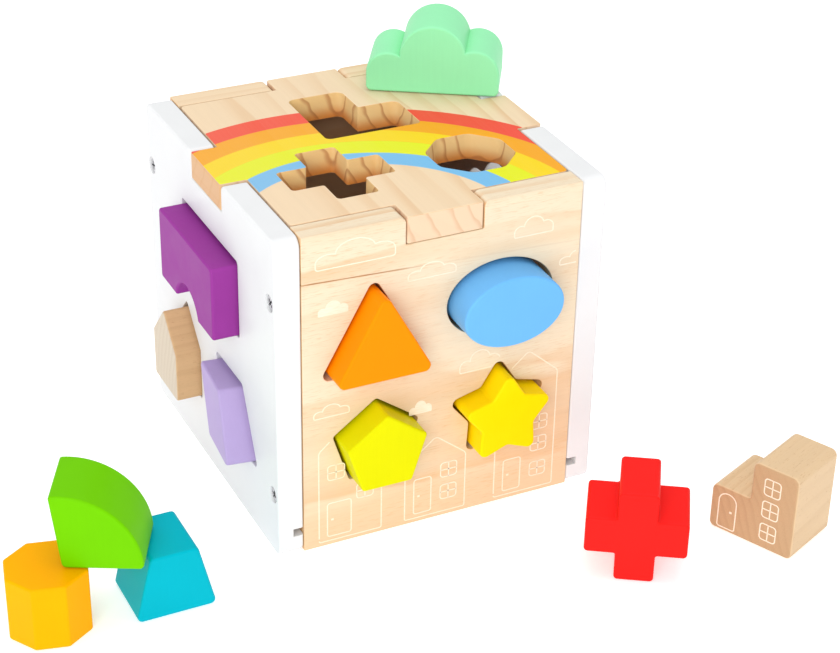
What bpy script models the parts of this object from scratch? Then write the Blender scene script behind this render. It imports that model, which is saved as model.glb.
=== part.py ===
"""Wooden shape sorter cube with its lid, base plate, screws and thirteen blocks.

Sizes are in millimetres and are turned into metres as each mesh is made.
The cube stands on the floor, its front panel faces -Y and its lid faces +Z.
Every outline is a flat list of corners, pushed straight through its panel or block.
"""
import math

import bmesh
import bpy
from mathutils import Matrix, Vector

MM = 0.001

# Cube
SIDE = 140.0            # outside size of the cube, all three ways
WALL = 10.5             # thickness of the four upright panels
HALF = SIDE / 2
INNER = HALF - WALL     # distance from the middle to a panel's inner face
JOINT_GAP = 0.25        # gap where two fixed boards meet
PANEL_TOP_CORNER = 4.5  # corner radii of the two painted side panels
PANEL_FOOT_CORNER = 3.5
NOTCH_WIDTH = 33.0      # notch in each panel's top edge for a lid tab
NOTCH_DROP = 0.25       # gap under each lid tab
NOTCH_CORNER = 0.6      # rounding in the bottom corners of a notch
SHOULDER = 2.6          # rounding where a notch meets the panel's top edge
CUT_SPARE = 2.0         # how far a cutter runs past the face it cuts through

# Lid
LID = 11.4              # thickness of the lid
LID_GAP = 0.7           # gap between the lid and the panels' inner faces
LID_CORNER = 2.0        # corner rounding of the lid
TAB_WIDTH = 32.0        # lid tab that lies in a panel's notch
TAB_CORNER = 0.8
TAB_ROOT = 0.4          # rounding where a tab meets the lid's edge

# Base plate and the grooves that hold it
PLATE = 3.0
PLATE_LOW = 8.5
PLATE_REACH = 4.0       # how far the plate enters each panel
PLATE_CORNER = 1.0
GROOVE_GAP = 0.3

# Screws
SCREW_HEAD = 3.25       # head radius
SCREW_RIM = 0.6         # height of the head's straight rim
SCREW_SHANK = 1.6
SCREW_LENGTH = 25.0
SCREW_POINT = 4.0       # length of the tapered point
SCREW_BLUNT = 0.45      # tip radius as a part of the shank radius
SCREW_SINK = 0.5        # head below the panel's face
SCREW_ROOM = 0.25       # clearance round the screw
SCREW_HEIGHTS = (27.0, 112.7)
SCREW_SIDES = 20
DRIVE_ARM = 1.9         # cross recess in the head
DRIVE_HALF_WIDTH = 0.42
DRIVE_DEPTH = 1.5

# Blocks
DEPTH = 27.8            # thickness of every block but the tall house
HOUSE_DEPTH = 29.6
PLAY = 1.1              # gap all round between a block and its hole
ROUND = 1.6             # corner rounding of block outlines
STEPS = 4               # points in each rounded corner
REST_GAP = 0.25         # gap under a block that lies on another piece

# Block outlines
TRIANGLE_HALF = 21.1
TRIANGLE_LOW = 12.6     # from its middle down to its base
TRIANGLE_HIGH = 25.2    # from its middle up to its sharp top
OVAL = (21.7, 15.2)     # half width and half height
PENTAGON_RADIUS = 18.0
STAR_TIP = 21.2
STAR_DIP = 12.25
CROSS_ARM = 7.8         # half width of an arm
CROSS_END = 20.1        # from the middle to an arm's end
HOUSE_WIDTH = 38.35
HOUSE_WING_WIDTH = 17.55
HOUSE_WING_HEIGHT = 20.6
OCTAGON_FLAT = 15.4     # from the middle to a side
GABLE_HALF = 13.6
GABLE_EAVES = 22.2
GABLE_PEAK = 37.3
RHOMBUS_BASE = 26.6
RHOMBUS_SLANT = 13.3    # how far its top is set back
RHOMBUS_HALF_HEIGHT = 14.3
TRAPEZOID_FOOT = 16.15  # half width at the bottom
TRAPEZOID_HEAD = 9.55   # half width at the top
TRAPEZOID_HEIGHT = 27.7
BRIDGE_HALF = 29.7
BRIDGE_HEIGHT = 31.6
BRIDGE_ARCH = 12.9      # radius of the passage
BRIDGE_ARCH_DROP = 3.2  # how far the passage's middle is below the underside
QUARTER_ACROSS = 30.6
QUARTER_UP = 31.6
QUARTER_OPENING = 96.5  # degrees
CLOUD_LEFT = (-19.0, 8.2, 9.2)      # across, height and radius of each bump
CLOUD_MIDDLE = (-0.3, 15.9, 14.0)
CLOUD_RIGHT = (17.5, 9.7, 10.1)
CLOUD_FOOT = 2.4                    # rounding at both ends of its underside

# Floor rectangle taken up by the whole set, before it is centred on the origin
SET_CENTRE = (-20.038, -42.776)

SMOOTH_ANGLE = math.radians(30)
WHITE = (0.86, 0.89, 0.91)
PINE = (0.86, 0.66, 0.42)
BEECH = (0.72, 0.46, 0.27)
STEEL = (0.42, 0.43, 0.44)


# ---------------------------------------------------------------- outlines
def grown(points, amount):
    """Move every edge of a counter-clockwise polygon outwards."""
    result = []
    count = len(points)
    for i in range(count):
        before = Vector(points[i - 1])
        here = Vector(points[i])
        after = Vector(points[(i + 1) % count])
        first = (here - before).normalized()
        second = (after - here).normalized()
        normal_a = Vector((first.y, -first.x))
        normal_b = Vector((second.y, -second.x))
        spread = 1.0 + normal_a.dot(normal_b)
        result.append(here + (normal_a + normal_b) * (amount / spread))
    return [(p.x, p.y) for p in result]


def rounded(points, radius, steps=STEPS):
    """Round the corners of a polygon; radius is one number or one per corner."""
    count = len(points)
    radii = radius if isinstance(radius, (list, tuple)) else [radius] * count
    result = []
    for i in range(count):
        here = Vector(points[i])
        back = (Vector(points[i - 1]) - here).normalized()
        on = (Vector(points[(i + 1) % count]) - here).normalized()
        if radii[i] <= 0:
            result.append((here.x, here.y))
            continue
        half = math.acos(max(-1.0, min(1.0, back.dot(on)))) / 2
        reach = radii[i] / math.tan(half)
        middle = here + (back + on).normalized() * (radii[i] / math.sin(half))
        start = here + back * reach - middle
        turn = start.angle_signed(here + on * reach - middle)
        for k in range(steps + 1):
            angle = -turn * k / steps
            cos, sin = math.cos(angle), math.sin(angle)
            x = start.x * cos - start.y * sin
            y = start.x * sin + start.y * cos
            result.append((middle.x + x, middle.y + y))
    return result


def moved(points, dx, dy):
    return [(x + dx, y + dy) for x, y in points]


def mirrored(points):
    return [(-x, y) for x, y in reversed(points)]


def box_outline(x0, x1, y0, y1):
    return [(x0, y0), (x1, y0), (x1, y1), (x0, y1)]


def regular(sides, radius, first):
    turn = 2 * math.pi / sides
    return [(radius * math.cos(first + k * turn), radius * math.sin(first + k * turn))
            for k in range(sides)]


def triangle(grow=0.0):
    points = [(-TRIANGLE_HALF, -TRIANGLE_LOW), (TRIANGLE_HALF, -TRIANGLE_LOW), (0, TRIANGLE_HIGH)]
    return rounded(grown(points, grow), 2.6, 5)


def oval(grow=0.0):
    across, up = OVAL[0] + grow, OVAL[1] + grow
    return [(across * math.cos(k * math.tau / 56), up * math.sin(k * math.tau / 56)) for k in range(56)]


def pentagon(grow=0.0):
    return rounded(grown(regular(5, PENTAGON_RADIUS, math.pi / 2), grow), ROUND)


def star(grow=0.0):
    points = []
    for k in range(5):
        tip = math.pi / 2 + k * math.tau / 5
        dip = tip + math.pi / 5
        points.append((STAR_TIP * math.cos(tip), STAR_TIP * math.sin(tip)))
        points.append((STAR_DIP * math.cos(dip), STAR_DIP * math.sin(dip)))
    return rounded(grown(points, grow), [2.6, 3.0] * 5)


def cross(arm=CROSS_ARM, end=CROSS_END):
    points = [(arm, -end), (arm, -arm), (end, -arm), (end, arm), (arm, arm), (arm, end)]
    points += [(-arm, end), (-arm, arm), (-end, arm), (-end, -arm), (-arm, -arm), (-arm, -end)]
    return rounded(points, [ROUND, 1.0, ROUND] * 4)


def tall_house(grow=0.0):
    """House with a low wing on its left and a tall part on its right."""
    points = [(0, 0), (HOUSE_WIDTH, 0), (HOUSE_WIDTH, HOUSE_WIDTH), (HOUSE_WING_WIDTH, HOUSE_WIDTH)]
    points += [(HOUSE_WING_WIDTH, HOUSE_WING_HEIGHT), (0, HOUSE_WING_HEIGHT)]
    return rounded(grown(moved(points, -HOUSE_WIDTH / 2, 0), grow), [2.4, 2.4, 3.0, 3.0, 1.0, 3.0])


def octagon(grow=0.0, corner=ROUND):
    sharp = regular(8, OCTAGON_FLAT / math.cos(math.pi / 8), math.pi / 8)
    return rounded(grown(sharp, grow), corner, 3)


def gable(grow=0.0):
    points = [(-GABLE_HALF, 0), (GABLE_HALF, 0), (GABLE_HALF, GABLE_EAVES)]
    points += [(0, GABLE_PEAK), (-GABLE_HALF, GABLE_EAVES)]
    return rounded(grown(points, grow), ROUND)


def rhombus(grow=0.0):
    reach = (RHOMBUS_BASE + RHOMBUS_SLANT) / 2
    near = reach - RHOMBUS_SLANT
    high = RHOMBUS_HALF_HEIGHT
    points = [(-near, -high), (reach, -high), (near, high), (-reach, high)]
    return rounded(grown(points, grow), 2.0)


def trapezoid(grow=0.0):
    points = [(-TRAPEZOID_FOOT, 0), (TRAPEZOID_FOOT, 0)]
    points += [(TRAPEZOID_HEAD, TRAPEZOID_HEIGHT), (-TRAPEZOID_HEAD, TRAPEZOID_HEIGHT)]
    return rounded(grown(points, grow), 2.0)


def bridge(grow=0.0):
    """Slab with an arched passage in its underside."""
    arch = BRIDGE_ARCH - grow
    half = BRIDGE_HALF + grow
    points = rounded(box_outline(-half, half, -grow, BRIDGE_HEIGHT + grow), ROUND)
    split = next(i for i, p in enumerate(points) if p[0] > 0)
    rise = BRIDGE_ARCH_DROP - grow
    first = math.asin(rise / arch)
    passage = []
    for k in range(17):
        angle = math.pi - first - (math.pi - 2 * first) * k / 16
        passage.append((arch * math.cos(angle), arch * math.sin(angle) - BRIDGE_ARCH_DROP))
    return points[:split] + passage + points[split:]


def quarter(grow=0.0):
    """Sector of a disc with its point at the lower left and a flat bottom."""
    across, up = QUARTER_ACROSS + grow, QUARTER_UP + grow
    turn = math.radians(QUARTER_OPENING) / 20
    arc = [(across * math.cos(k * turn), up * math.sin(k * turn)) for k in range(2, 20)]
    first = (across, -grow)
    last = (across * math.cos(20 * turn), up * math.sin(20 * turn))
    corners = rounded([first, arc[0], arc[-1], last, (-grow, -grow)], [2.0, 0, 0, 1.2, 2.0])
    split = STEPS + 2
    return corners[:split] + arc[1:-1] + corners[split:]


def meeting(centre_a, radius_a, centre_b, radius_b):
    """Upper point where two circles cross."""
    a, b = Vector(centre_a), Vector(centre_b)
    gap = (b - a).length
    along = (radius_a ** 2 - radius_b ** 2 + gap ** 2) / (2 * gap)
    side = math.sqrt(radius_a ** 2 - along ** 2)
    axis = (b - a) / gap
    up = Vector((-axis.y, axis.x))
    return a + axis * along + up * side


def arc_between(centre, radius, start, end, steps):
    first = math.atan2(start[1] - centre[1], start[0] - centre[0])
    last = math.atan2(end[1] - centre[1], end[0] - centre[0])
    return [(centre[0] + radius * math.cos(first + (last - first) * k / steps),
             centre[1] + radius * math.sin(first + (last - first) * k / steps))
            for k in range(steps + 1)]


def cloud(grow=0.0):
    """Cloud of three bumps on a flat bottom."""
    left, middle, right = CLOUD_LEFT[:2], CLOUD_MIDDLE[:2], CLOUD_RIGHT[:2]
    small, big, last = CLOUD_LEFT[2] + grow, CLOUD_MIDDLE[2] + grow, CLOUD_RIGHT[2] + grow
    dip_a = meeting(left, small, middle, big)
    dip_b = meeting(middle, big, right, last)
    low_right = (right[0] + last, right[1])
    low_left = (left[0] - small, left[1])
    points = arc_between(right, last, low_right, dip_b, 8)
    points += arc_between(middle, big, dip_b, dip_a, 14)[1:]
    points += arc_between(left, small, dip_a, low_left, 8)[1:]
    corners = [(low_left[0], -grow), (low_right[0], -grow), low_right, low_left]
    return points + rounded(corners, [CLOUD_FOOT, CLOUD_FOOT, 0, 0])[:-2]


# ---------------------------------------------------------------- meshes
def flat_frame(origin, across, up):
    """Matrix that maps x, y of an outline to two world directions; z is their cross product."""
    across, up = Vector(across), Vector(up)
    along = across.cross(up)
    matrix = Matrix((across, up, along)).transposed().to_4x4()
    matrix.translation = Vector(origin)
    return matrix


def add_prism(mesh, outline, low, high, matrix):
    """Add one closed prism, from low to high along the matrix's third axis."""
    bottom = [mesh.verts.new(matrix @ Vector((x, y, low)) * MM) for x, y in outline]
    top = [mesh.verts.new(matrix @ Vector((x, y, high)) * MM) for x, y in outline]
    mesh.faces.new(list(reversed(bottom)))
    mesh.faces.new(top)
    count = len(outline)
    for i in range(count):
        j = (i + 1) % count
        mesh.faces.new((bottom[i], bottom[j], top[j], top[i]))


def add_lathe(mesh, profile, matrix, sides):
    """Add one closed turned solid; profile runs from axis to axis along +z."""
    rings = []
    for radius, height in profile:
        if radius == 0:
            rings.append([mesh.verts.new(matrix @ Vector((0, 0, height)) * MM)])
            continue
        ring = []
        for k in range(sides):
            angle = k * math.tau / sides
            point = Vector((radius * math.cos(angle), radius * math.sin(angle), height))
            ring.append(mesh.verts.new(matrix @ point * MM))
        rings.append(ring)
    for lower, upper in zip(rings, rings[1:]):
        for i in range(sides):
            j = (i + 1) % sides
            if len(lower) == 1:
                mesh.faces.new((lower[0], upper[j], upper[i]))
            elif len(upper) == 1:
                mesh.faces.new((lower[i], lower[j], upper[0]))
            else:
                mesh.faces.new((lower[i], lower[j], upper[j], upper[i]))


def plain_material(name, colour, roughness=0.45, metal=0.0):
    material = bpy.data.materials.new(name + "_material")
    material.use_nodes = True
    shader = material.node_tree.nodes["Principled BSDF"]
    shader.inputs["Base Color"].default_value = (*colour, 1.0)
    shader.inputs["Roughness"].default_value = roughness
    shader.inputs["Metallic"].default_value = metal
    return material


def finish(name, mesh, origin, colour, roughness=0.45, metal=0.0):
    """Turn a bmesh into a named object whose origin is at the given point."""
    bmesh.ops.recalc_face_normals(mesh, faces=mesh.faces)
    shift = Vector(origin) * MM
    bmesh.ops.translate(mesh, verts=mesh.verts, vec=-shift)
    data = bpy.data.meshes.new(name)
    mesh.to_mesh(data)
    mesh.free()
    data.shade_smooth()
    data.set_sharp_from_angle(angle=SMOOTH_ANGLE)
    piece = bpy.data.objects.new(name, data)
    piece.location = shift - Vector((*SET_CENTRE, 0)) * MM
    bpy.context.scene.collection.objects.link(piece)
    piece.data.materials.append(plain_material(name, colour, roughness, metal))
    return piece


def cut(piece, name, mesh, origin=(0, 0, 0)):
    """Subtract the closed shells in a bmesh from a piece."""
    tool = finish(name, mesh, origin, (0.5, 0.5, 0.5))
    tool.data.shade_flat()
    tool.hide_render = True
    tool.display_type = "WIRE"
    modifier = piece.modifiers.new(name, "BOOLEAN")
    modifier.operation = "DIFFERENCE"
    modifier.solver = "EXACT"
    modifier.object = tool


# ---------------------------------------------------------------- panels
FRONT = flat_frame((0, 0, 0), (1, 0, 0), (0, 0, 1))      # third axis is -Y
LEFT = flat_frame((0, 0, 0), (0, -1, 0), (0, 0, 1))      # third axis is -X
RIGHT = flat_frame((0, 0, 0), (0, 1, 0), (0, 0, 1))      # third axis is +X
BACK = flat_frame((0, 0, 0), (-1, 0, 0), (0, 0, 1))      # third axis is +Y
TOP = flat_frame((0, 0, 0), (1, 0, 0), (0, 1, 0))        # third axis is +Z


def panel_outline(half_width, foot_corner, top_corner):
    """Panel with a notch in the middle of its top edge."""
    notch = NOTCH_WIDTH / 2
    floor = SIDE - LID - NOTCH_DROP
    points = [(-half_width, 0), (half_width, 0), (half_width, SIDE), (notch, SIDE)]
    points += [(notch, floor), (-notch, floor), (-notch, SIDE), (-half_width, SIDE)]
    notch_corners = [SHOULDER, NOTCH_CORNER, NOTCH_CORNER, SHOULDER]
    return rounded(points, [foot_corner, foot_corner, top_corner] + notch_corners + [top_corner])


def screw_profile(room):
    """Countersunk screw from its tip to its head; room widens it into its hole."""
    top = 0.0 if room == 0 else CUT_SPARE
    head = SCREW_HEAD + room
    shank = SCREW_SHANK + room
    cone = SCREW_HEAD - SCREW_SHANK
    tip = -SCREW_LENGTH - room
    profile = [(0, tip), (shank * SCREW_BLUNT, tip), (shank, tip + SCREW_POINT)]
    profile += [(shank, -cone - SCREW_RIM - room), (head, -SCREW_RIM - room)]
    profile += [(head, top), (0, top)]
    return profile


def screw_frame(side, y_sign, height):
    """Screw axis: its head is at the side panel's face and points outwards."""
    frame = RIGHT if side > 0 else LEFT
    matrix = frame.copy()
    matrix.translation = Vector((side * (HALF - SCREW_SINK), y_sign * (HALF - WALL / 2), height))
    return matrix


def add_screw_holes(mesh, side_signs, y_signs):
    for side in side_signs:
        for y_sign in y_signs:
            for height in SCREW_HEIGHTS:
                add_lathe(mesh, screw_profile(SCREW_ROOM), screw_frame(side, y_sign, height), SCREW_SIDES)


def make_cross_board(name, frame, holes, colour):
    """Front or back board, held between the side panels."""
    low = INNER
    half_width = INNER - JOINT_GAP
    mesh = bmesh.new()
    add_prism(mesh, panel_outline(half_width, 0, 0), low, HALF, frame)
    board = finish(name, mesh, frame.to_3x3() @ Vector((0, SIDE / 2, HALF - WALL / 2)), colour)
    tool = bmesh.new()
    for outline in holes:
        add_prism(tool, outline, low - CUT_SPARE, HALF + CUT_SPARE, frame)
    add_groove(tool, frame, half_width + 1)
    y_sign = 1 if frame is BACK else -1
    add_screw_holes(tool, (-1, 1), (y_sign,))
    cut(board, name + "_cutter", tool)
    return board


def make_side_panel(name, frame, holes, colour):
    """Painted outer panel; its base groove runs out through both edges."""
    mesh = bmesh.new()
    add_prism(mesh, panel_outline(HALF, PANEL_FOOT_CORNER, PANEL_TOP_CORNER), INNER, HALF, frame)
    panel = finish(name, mesh, frame.to_3x3() @ Vector((0, SIDE / 2, HALF - WALL / 2)), colour, 0.4)
    tool = bmesh.new()
    for outline in holes:
        add_prism(tool, outline, INNER - CUT_SPARE, HALF + CUT_SPARE, frame)
    add_groove(tool, frame, HALF + CUT_SPARE)
    side = 1 if frame is RIGHT else -1
    add_screw_holes(tool, (side,), (-1, 1))
    cut(panel, name + "_cutter", tool)
    return panel


def add_groove(mesh, frame, half_length):
    low = PLATE_LOW - GROOVE_GAP
    high = PLATE_LOW + PLATE + GROOVE_GAP
    outline = box_outline(-half_length, half_length, low, high)
    add_prism(mesh, outline, INNER - CUT_SPARE, INNER + PLATE_REACH + GROOVE_GAP, frame)


def make_base_plate():
    reach = INNER + PLATE_REACH
    outline = rounded(box_outline(-reach, reach, -reach, reach), PLATE_CORNER)
    mesh = bmesh.new()
    add_prism(mesh, outline, PLATE_LOW, PLATE_LOW + PLATE, TOP)
    finish("base_plate", mesh, (0, 0, PLATE_LOW + PLATE / 2), (0.78, 0.6, 0.4))


def lid_outline():
    edge = INNER - LID_GAP
    tab = TAB_WIDTH / 2
    quarter_turn = [(-tab, -edge), (-tab, -HALF), (tab, -HALF), (tab, -edge), (edge, -edge)]
    points = []
    for cos, sin in ((1, 0), (0, 1), (-1, 0), (0, -1)):
        points += [(x * cos - y * sin, x * sin + y * cos) for x, y in quarter_turn]
    return rounded(points, [TAB_ROOT, TAB_CORNER, TAB_CORNER, TAB_ROOT, LID_CORNER] * 4, 3)


# Lid holes: where each outline's zero point lies, and how much wider than its block it is
CROSS_AT = (-25.0, -24.0)
CROSS_HOLE_ARM = 8.6
CROSS_HOLE_END = 21.8
TALL_HOUSE_AT = (4.8, 6.6)
TALL_HOUSE_PLAY = 1.8
OCTAGON_AT = (31.1, -28.9)
OCTAGON_PLAY = 1.4
OCTAGON_HOLE_CORNER = 5.0


def make_lid():
    mesh = bmesh.new()
    add_prism(mesh, lid_outline(), SIDE - LID, SIDE, TOP)
    lid = finish("lid", mesh, (0, 0, SIDE - LID / 2), PINE)
    holes = [moved(cross(CROSS_HOLE_ARM, CROSS_HOLE_END), *CROSS_AT)]
    holes.append(moved(mirrored(tall_house(TALL_HOUSE_PLAY)), *TALL_HOUSE_AT))
    holes.append(moved(octagon(OCTAGON_PLAY, OCTAGON_HOLE_CORNER), *OCTAGON_AT))
    tool = bmesh.new()
    for outline in holes:
        add_prism(tool, outline, SIDE - LID - CUT_SPARE, SIDE + CUT_SPARE, TOP)
    cut(lid, "lid_cutter", tool)


# ---------------------------------------------------------------- screws
def make_screw(name, side, y_sign, height):
    matrix = screw_frame(side, y_sign, height)
    mesh = bmesh.new()
    add_lathe(mesh, screw_profile(0.0), matrix, SCREW_SIDES)
    middle = matrix @ Vector((0, 0, -SCREW_LENGTH / 2))
    screw = finish(name, mesh, middle, STEEL, 0.35, 1.0)
    slot = bmesh.new()
    arm, width = DRIVE_ARM, DRIVE_HALF_WIDTH
    points = [(width, -arm), (width, -width), (arm, -width), (arm, width), (width, width), (width, arm)]
    points += [(-x, -y) for x, y in points]
    add_prism(slot, points, -DRIVE_DEPTH, CUT_SPARE, matrix)
    cut(screw, name + "_cutter", slot)


def make_screws():
    for side, side_name in ((-1, "left"), (1, "right")):
        for y_sign, end_name in ((-1, "front"), (1, "back")):
            for height, level in zip(SCREW_HEIGHTS, ("low", "high")):
                make_screw("screw_%s_%s_%s" % (side_name, end_name, level), side, y_sign, height)


# ---------------------------------------------------------------- blocks
def make_block(name, outline, matrix, colour, depth=DEPTH):
    """Block whose outline faces along the matrix's third axis, its front face at zero."""
    mesh = bmesh.new()
    add_prism(mesh, outline, -depth, 0, matrix)
    middle = [sum(values) / len(outline) for values in zip(*outline)]
    origin = matrix @ Vector((middle[0], middle[1], -depth / 2))
    return finish(name, mesh, origin, colour, 0.4)


def in_hole(frame, across, height, out, turn_up=0.0, turn_side=0.0):
    """Place a block in an upright panel's hole, standing out by the given amount.

    turn_up and turn_side lean the block's axis, in degrees, about the middle of the panel.
    """
    pivot = Matrix.Translation(Vector((across, height, HALF - WALL / 2)))
    lean = Matrix.Rotation(math.radians(turn_up), 4, "X")
    swing = Matrix.Rotation(math.radians(turn_side), 4, "Y")
    push = Matrix.Translation(Vector((0, 0, WALL / 2 + out)))
    return frame @ pivot @ swing @ lean @ push


def on_floor(x, y, z, turn):
    """Stand a block upright with the lower left corner of its front face at x, y, z."""
    spin = Matrix.Rotation(math.radians(turn), 4, "Z")
    return Matrix.Translation(Vector((x, y, z))) @ spin @ FRONT


# Holes: where each outline's zero point lies on its panel (across, height)
TRIANGLE_AT = (-29.4, 90.1)
OVAL_AT = (24.7, 97.1)
PENTAGON_AT = (-28.3, 44.4)
STAR_AT = (25.4, 46.1)
BRIDGE_AT = (1.6, 81.3)
GABLE_AT = (-28.5, 27.5)
RHOMBUS_AT = (26.2, 44.4)
CLOUD_AT = (-0.7, 85.7)
QUARTER_AT = (-48.0, 29.0)
TRAPEZOID_AT = (24.0, 29.0)
OVAL_PLAY = 1.5
RHOMBUS_PLAY = 1.5
DROP = 0.7              # how far a block has sunk in its hole
OVER = 0.35             # how far the front panel's blocks lie towards the right
OVAL_LEAN = 1.4         # degrees
RHOMBUS_LEAN = -1.5
RHOMBUS_SWING = -5.0


def make_panels():
    front = [moved(triangle(PLAY), *TRIANGLE_AT), moved(oval(OVAL_PLAY), *OVAL_AT)]
    front += [moved(pentagon(PLAY), *PENTAGON_AT), moved(star(PLAY), *STAR_AT)]
    make_cross_board("front_panel", FRONT, front, PINE)
    make_cross_board("back_panel", BACK, [], PINE)
    left = [moved(bridge(PLAY), *BRIDGE_AT), moved(gable(PLAY), *GABLE_AT)]
    left.append(moved(rhombus(RHOMBUS_PLAY), *RHOMBUS_AT))
    make_side_panel("left_panel", LEFT, left, WHITE)
    right = [moved(cloud(PLAY), *CLOUD_AT), moved(quarter(PLAY), *QUARTER_AT)]
    right.append(moved(trapezoid(PLAY), *TRAPEZOID_AT))
    make_side_panel("right_panel", RIGHT, right, WHITE)


def make_inserted_blocks():
    place = in_hole(FRONT, TRIANGLE_AT[0] + OVER, TRIANGLE_AT[1] - OVER / 2, 10.5)
    make_block("triangle_block", triangle(), place, (1.0, 0.27, 0.0))
    place = in_hole(FRONT, OVAL_AT[0] + OVER, OVAL_AT[1] - DROP, 12.2, turn_up=OVAL_LEAN)
    make_block("oval_block", oval(), place, (0.1, 0.4, 0.9))
    place = in_hole(FRONT, PENTAGON_AT[0] + OVER, PENTAGON_AT[1] - DROP, 11.0)
    make_block("pentagon_block", pentagon(), place, (0.8, 0.8, 0.0))
    place = in_hole(FRONT, STAR_AT[0] + OVER, STAR_AT[1] - DROP, 9.5)
    make_block("star_block", star(), place, (1.0, 0.68, 0.0))
    place = in_hole(LEFT, BRIDGE_AT[0], BRIDGE_AT[1] - DROP, 10.5)
    make_block("bridge_block", bridge(), place, (0.38, 0.06, 0.4))
    place = in_hole(LEFT, GABLE_AT[0], GABLE_AT[1] - DROP, 10.7)
    make_block("gable_block", gable(), place, BEECH)
    lean, swing = RHOMBUS_LEAN, RHOMBUS_SWING
    place = in_hole(LEFT, RHOMBUS_AT[0], RHOMBUS_AT[1] - DROP, 9.3, turn_up=lean, turn_side=swing)
    make_block("rhombus_block", rhombus(), place, (0.48, 0.34, 0.8))


def make_loose_blocks():
    place = on_floor(33.0, -130.4, 0, -32.4)
    make_block("cross_block", moved(cross(), CROSS_END, CROSS_END), place, (1.0, 0.03, 0.02))
    place = on_floor(98.0, -120.6, 0, -65.7)
    house = moved(tall_house(), HOUSE_WIDTH / 2, 0)
    make_block("tall_house_block", house, place, BEECH, HOUSE_DEPTH)
    place = on_floor(-134.85, -87.15, 0, 0.25)
    make_block("trapezoid_block", moved(trapezoid(), TRAPEZOID_FOOT, 0), place, (0.0, 0.52, 0.68))
    spin = Matrix.Rotation(math.radians(-13.1), 4, "Z")
    place = Matrix.Translation(Vector((-164.5, -73.45, DEPTH))) @ spin
    make_block("octagon_block", octagon(), place, (1.0, 0.47, 0.0))
    place = on_floor(-159.75, -78.65, DEPTH + REST_GAP, -26.6)
    make_block("quarter_block", quarter(), place, (0.16, 0.68, 0.0))
    place = on_floor(42.2, 28.3, SIDE + REST_GAP, -31.1)
    make_block("cloud_block", cloud(), place, (0.26, 0.82, 0.4))


def clear_scene():
    for piece in list(bpy.data.objects):
        bpy.data.objects.remove(piece, do_unlink=True)


clear_scene()
make_panels()
make_base_plate()
make_lid()
make_screws()
make_inserted_blocks()
make_loose_blocks()
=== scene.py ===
"""Looks for the wooden shape sorter cube: rounded boards and blocks, wood, paint, prints and light.

Lengths below are in millimetres from the cube's own middle on the floor, unless they say metres.
"""

import math

import bmesh
import bpy
from mathutils import Matrix, Vector, geometry

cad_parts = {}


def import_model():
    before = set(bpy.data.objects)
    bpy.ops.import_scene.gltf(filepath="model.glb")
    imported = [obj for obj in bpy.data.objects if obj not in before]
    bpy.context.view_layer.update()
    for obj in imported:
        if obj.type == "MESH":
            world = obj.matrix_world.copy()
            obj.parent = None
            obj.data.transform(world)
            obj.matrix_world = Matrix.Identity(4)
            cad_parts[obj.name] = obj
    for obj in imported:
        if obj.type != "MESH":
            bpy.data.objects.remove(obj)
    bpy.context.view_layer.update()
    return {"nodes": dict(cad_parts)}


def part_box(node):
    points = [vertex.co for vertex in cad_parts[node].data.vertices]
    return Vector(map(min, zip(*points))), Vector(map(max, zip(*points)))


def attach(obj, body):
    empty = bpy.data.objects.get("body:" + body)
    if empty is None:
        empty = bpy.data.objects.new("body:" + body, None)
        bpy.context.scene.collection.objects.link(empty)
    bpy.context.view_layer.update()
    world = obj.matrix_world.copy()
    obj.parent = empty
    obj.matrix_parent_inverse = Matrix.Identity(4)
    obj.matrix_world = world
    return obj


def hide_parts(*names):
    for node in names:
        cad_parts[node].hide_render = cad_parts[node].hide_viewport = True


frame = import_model()

MM = 0.001
LID_LOW, LID_HIGH = (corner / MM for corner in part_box("lid"))
CUBE_AT = Vector(((LID_LOW.x + LID_HIGH.x) / 2, (LID_LOW.y + LID_HIGH.y) / 2, 0.0))
SIDE = LID_HIGH.z
LID = LID_HIGH.z - LID_LOW.z
HALF = SIDE / 2
PANEL_LOW, PANEL_HIGH = (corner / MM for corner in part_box("front_panel"))
WALL = PANEL_HIGH.y - PANEL_LOW.y
INNER = HALF - WALL

JOINT_GAP = 0.25
PANEL_TOP_CORNER = 4.5
PANEL_FOOT_CORNER = 3.5
CROSS_BOARD_CORNER = 0.5
NOTCH_WIDTH = 33.0
NOTCH_DROP = 0.25
SHOULDER = 2.6
LID_GAP = 0.7
TAB_WIDTH = 32.0
DEPTH = 27.8
HOUSE_DEPTH = 29.6
PLAY = 1.1
ROUND = 1.6
REST_GAP = 0.25

# Block outlines
TRIANGLE_HALF, TRIANGLE_LOW, TRIANGLE_HIGH = 21.1, 12.6, 25.2
OVAL = (21.7, 15.2)
PENTAGON_RADIUS = 18.0
STAR_TIP, STAR_DIP = 21.2, 12.25
CROSS_ARM, CROSS_END = 7.8, 20.1
HOUSE_WIDTH, HOUSE_WING_WIDTH, HOUSE_WING_HEIGHT = 38.35, 17.55, 20.6
OCTAGON_FLAT = 15.4
GABLE_HALF, GABLE_EAVES, GABLE_PEAK = 13.6, 22.2, 37.3
RHOMBUS_BASE, RHOMBUS_SLANT, RHOMBUS_HALF_HEIGHT = 26.6, 13.3, 14.3
TRAPEZOID_FOOT, TRAPEZOID_HEAD, TRAPEZOID_HEIGHT = 16.15, 9.55, 27.7
BRIDGE_HALF, BRIDGE_HEIGHT = 29.7, 31.6
BRIDGE_ARCH, BRIDGE_ARCH_DROP = 12.9, 3.2
QUARTER_ACROSS, QUARTER_UP, QUARTER_OPENING = 30.6, 31.6, 96.5
CLOUD_LEFT = (-19.0, 8.2, 9.2)      # across, height and radius of each bump
CLOUD_MIDDLE = (-0.3, 15.9, 14.0)
CLOUD_RIGHT = (17.5, 9.7, 10.1)
CLOUD_FOOT = 2.4

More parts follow.
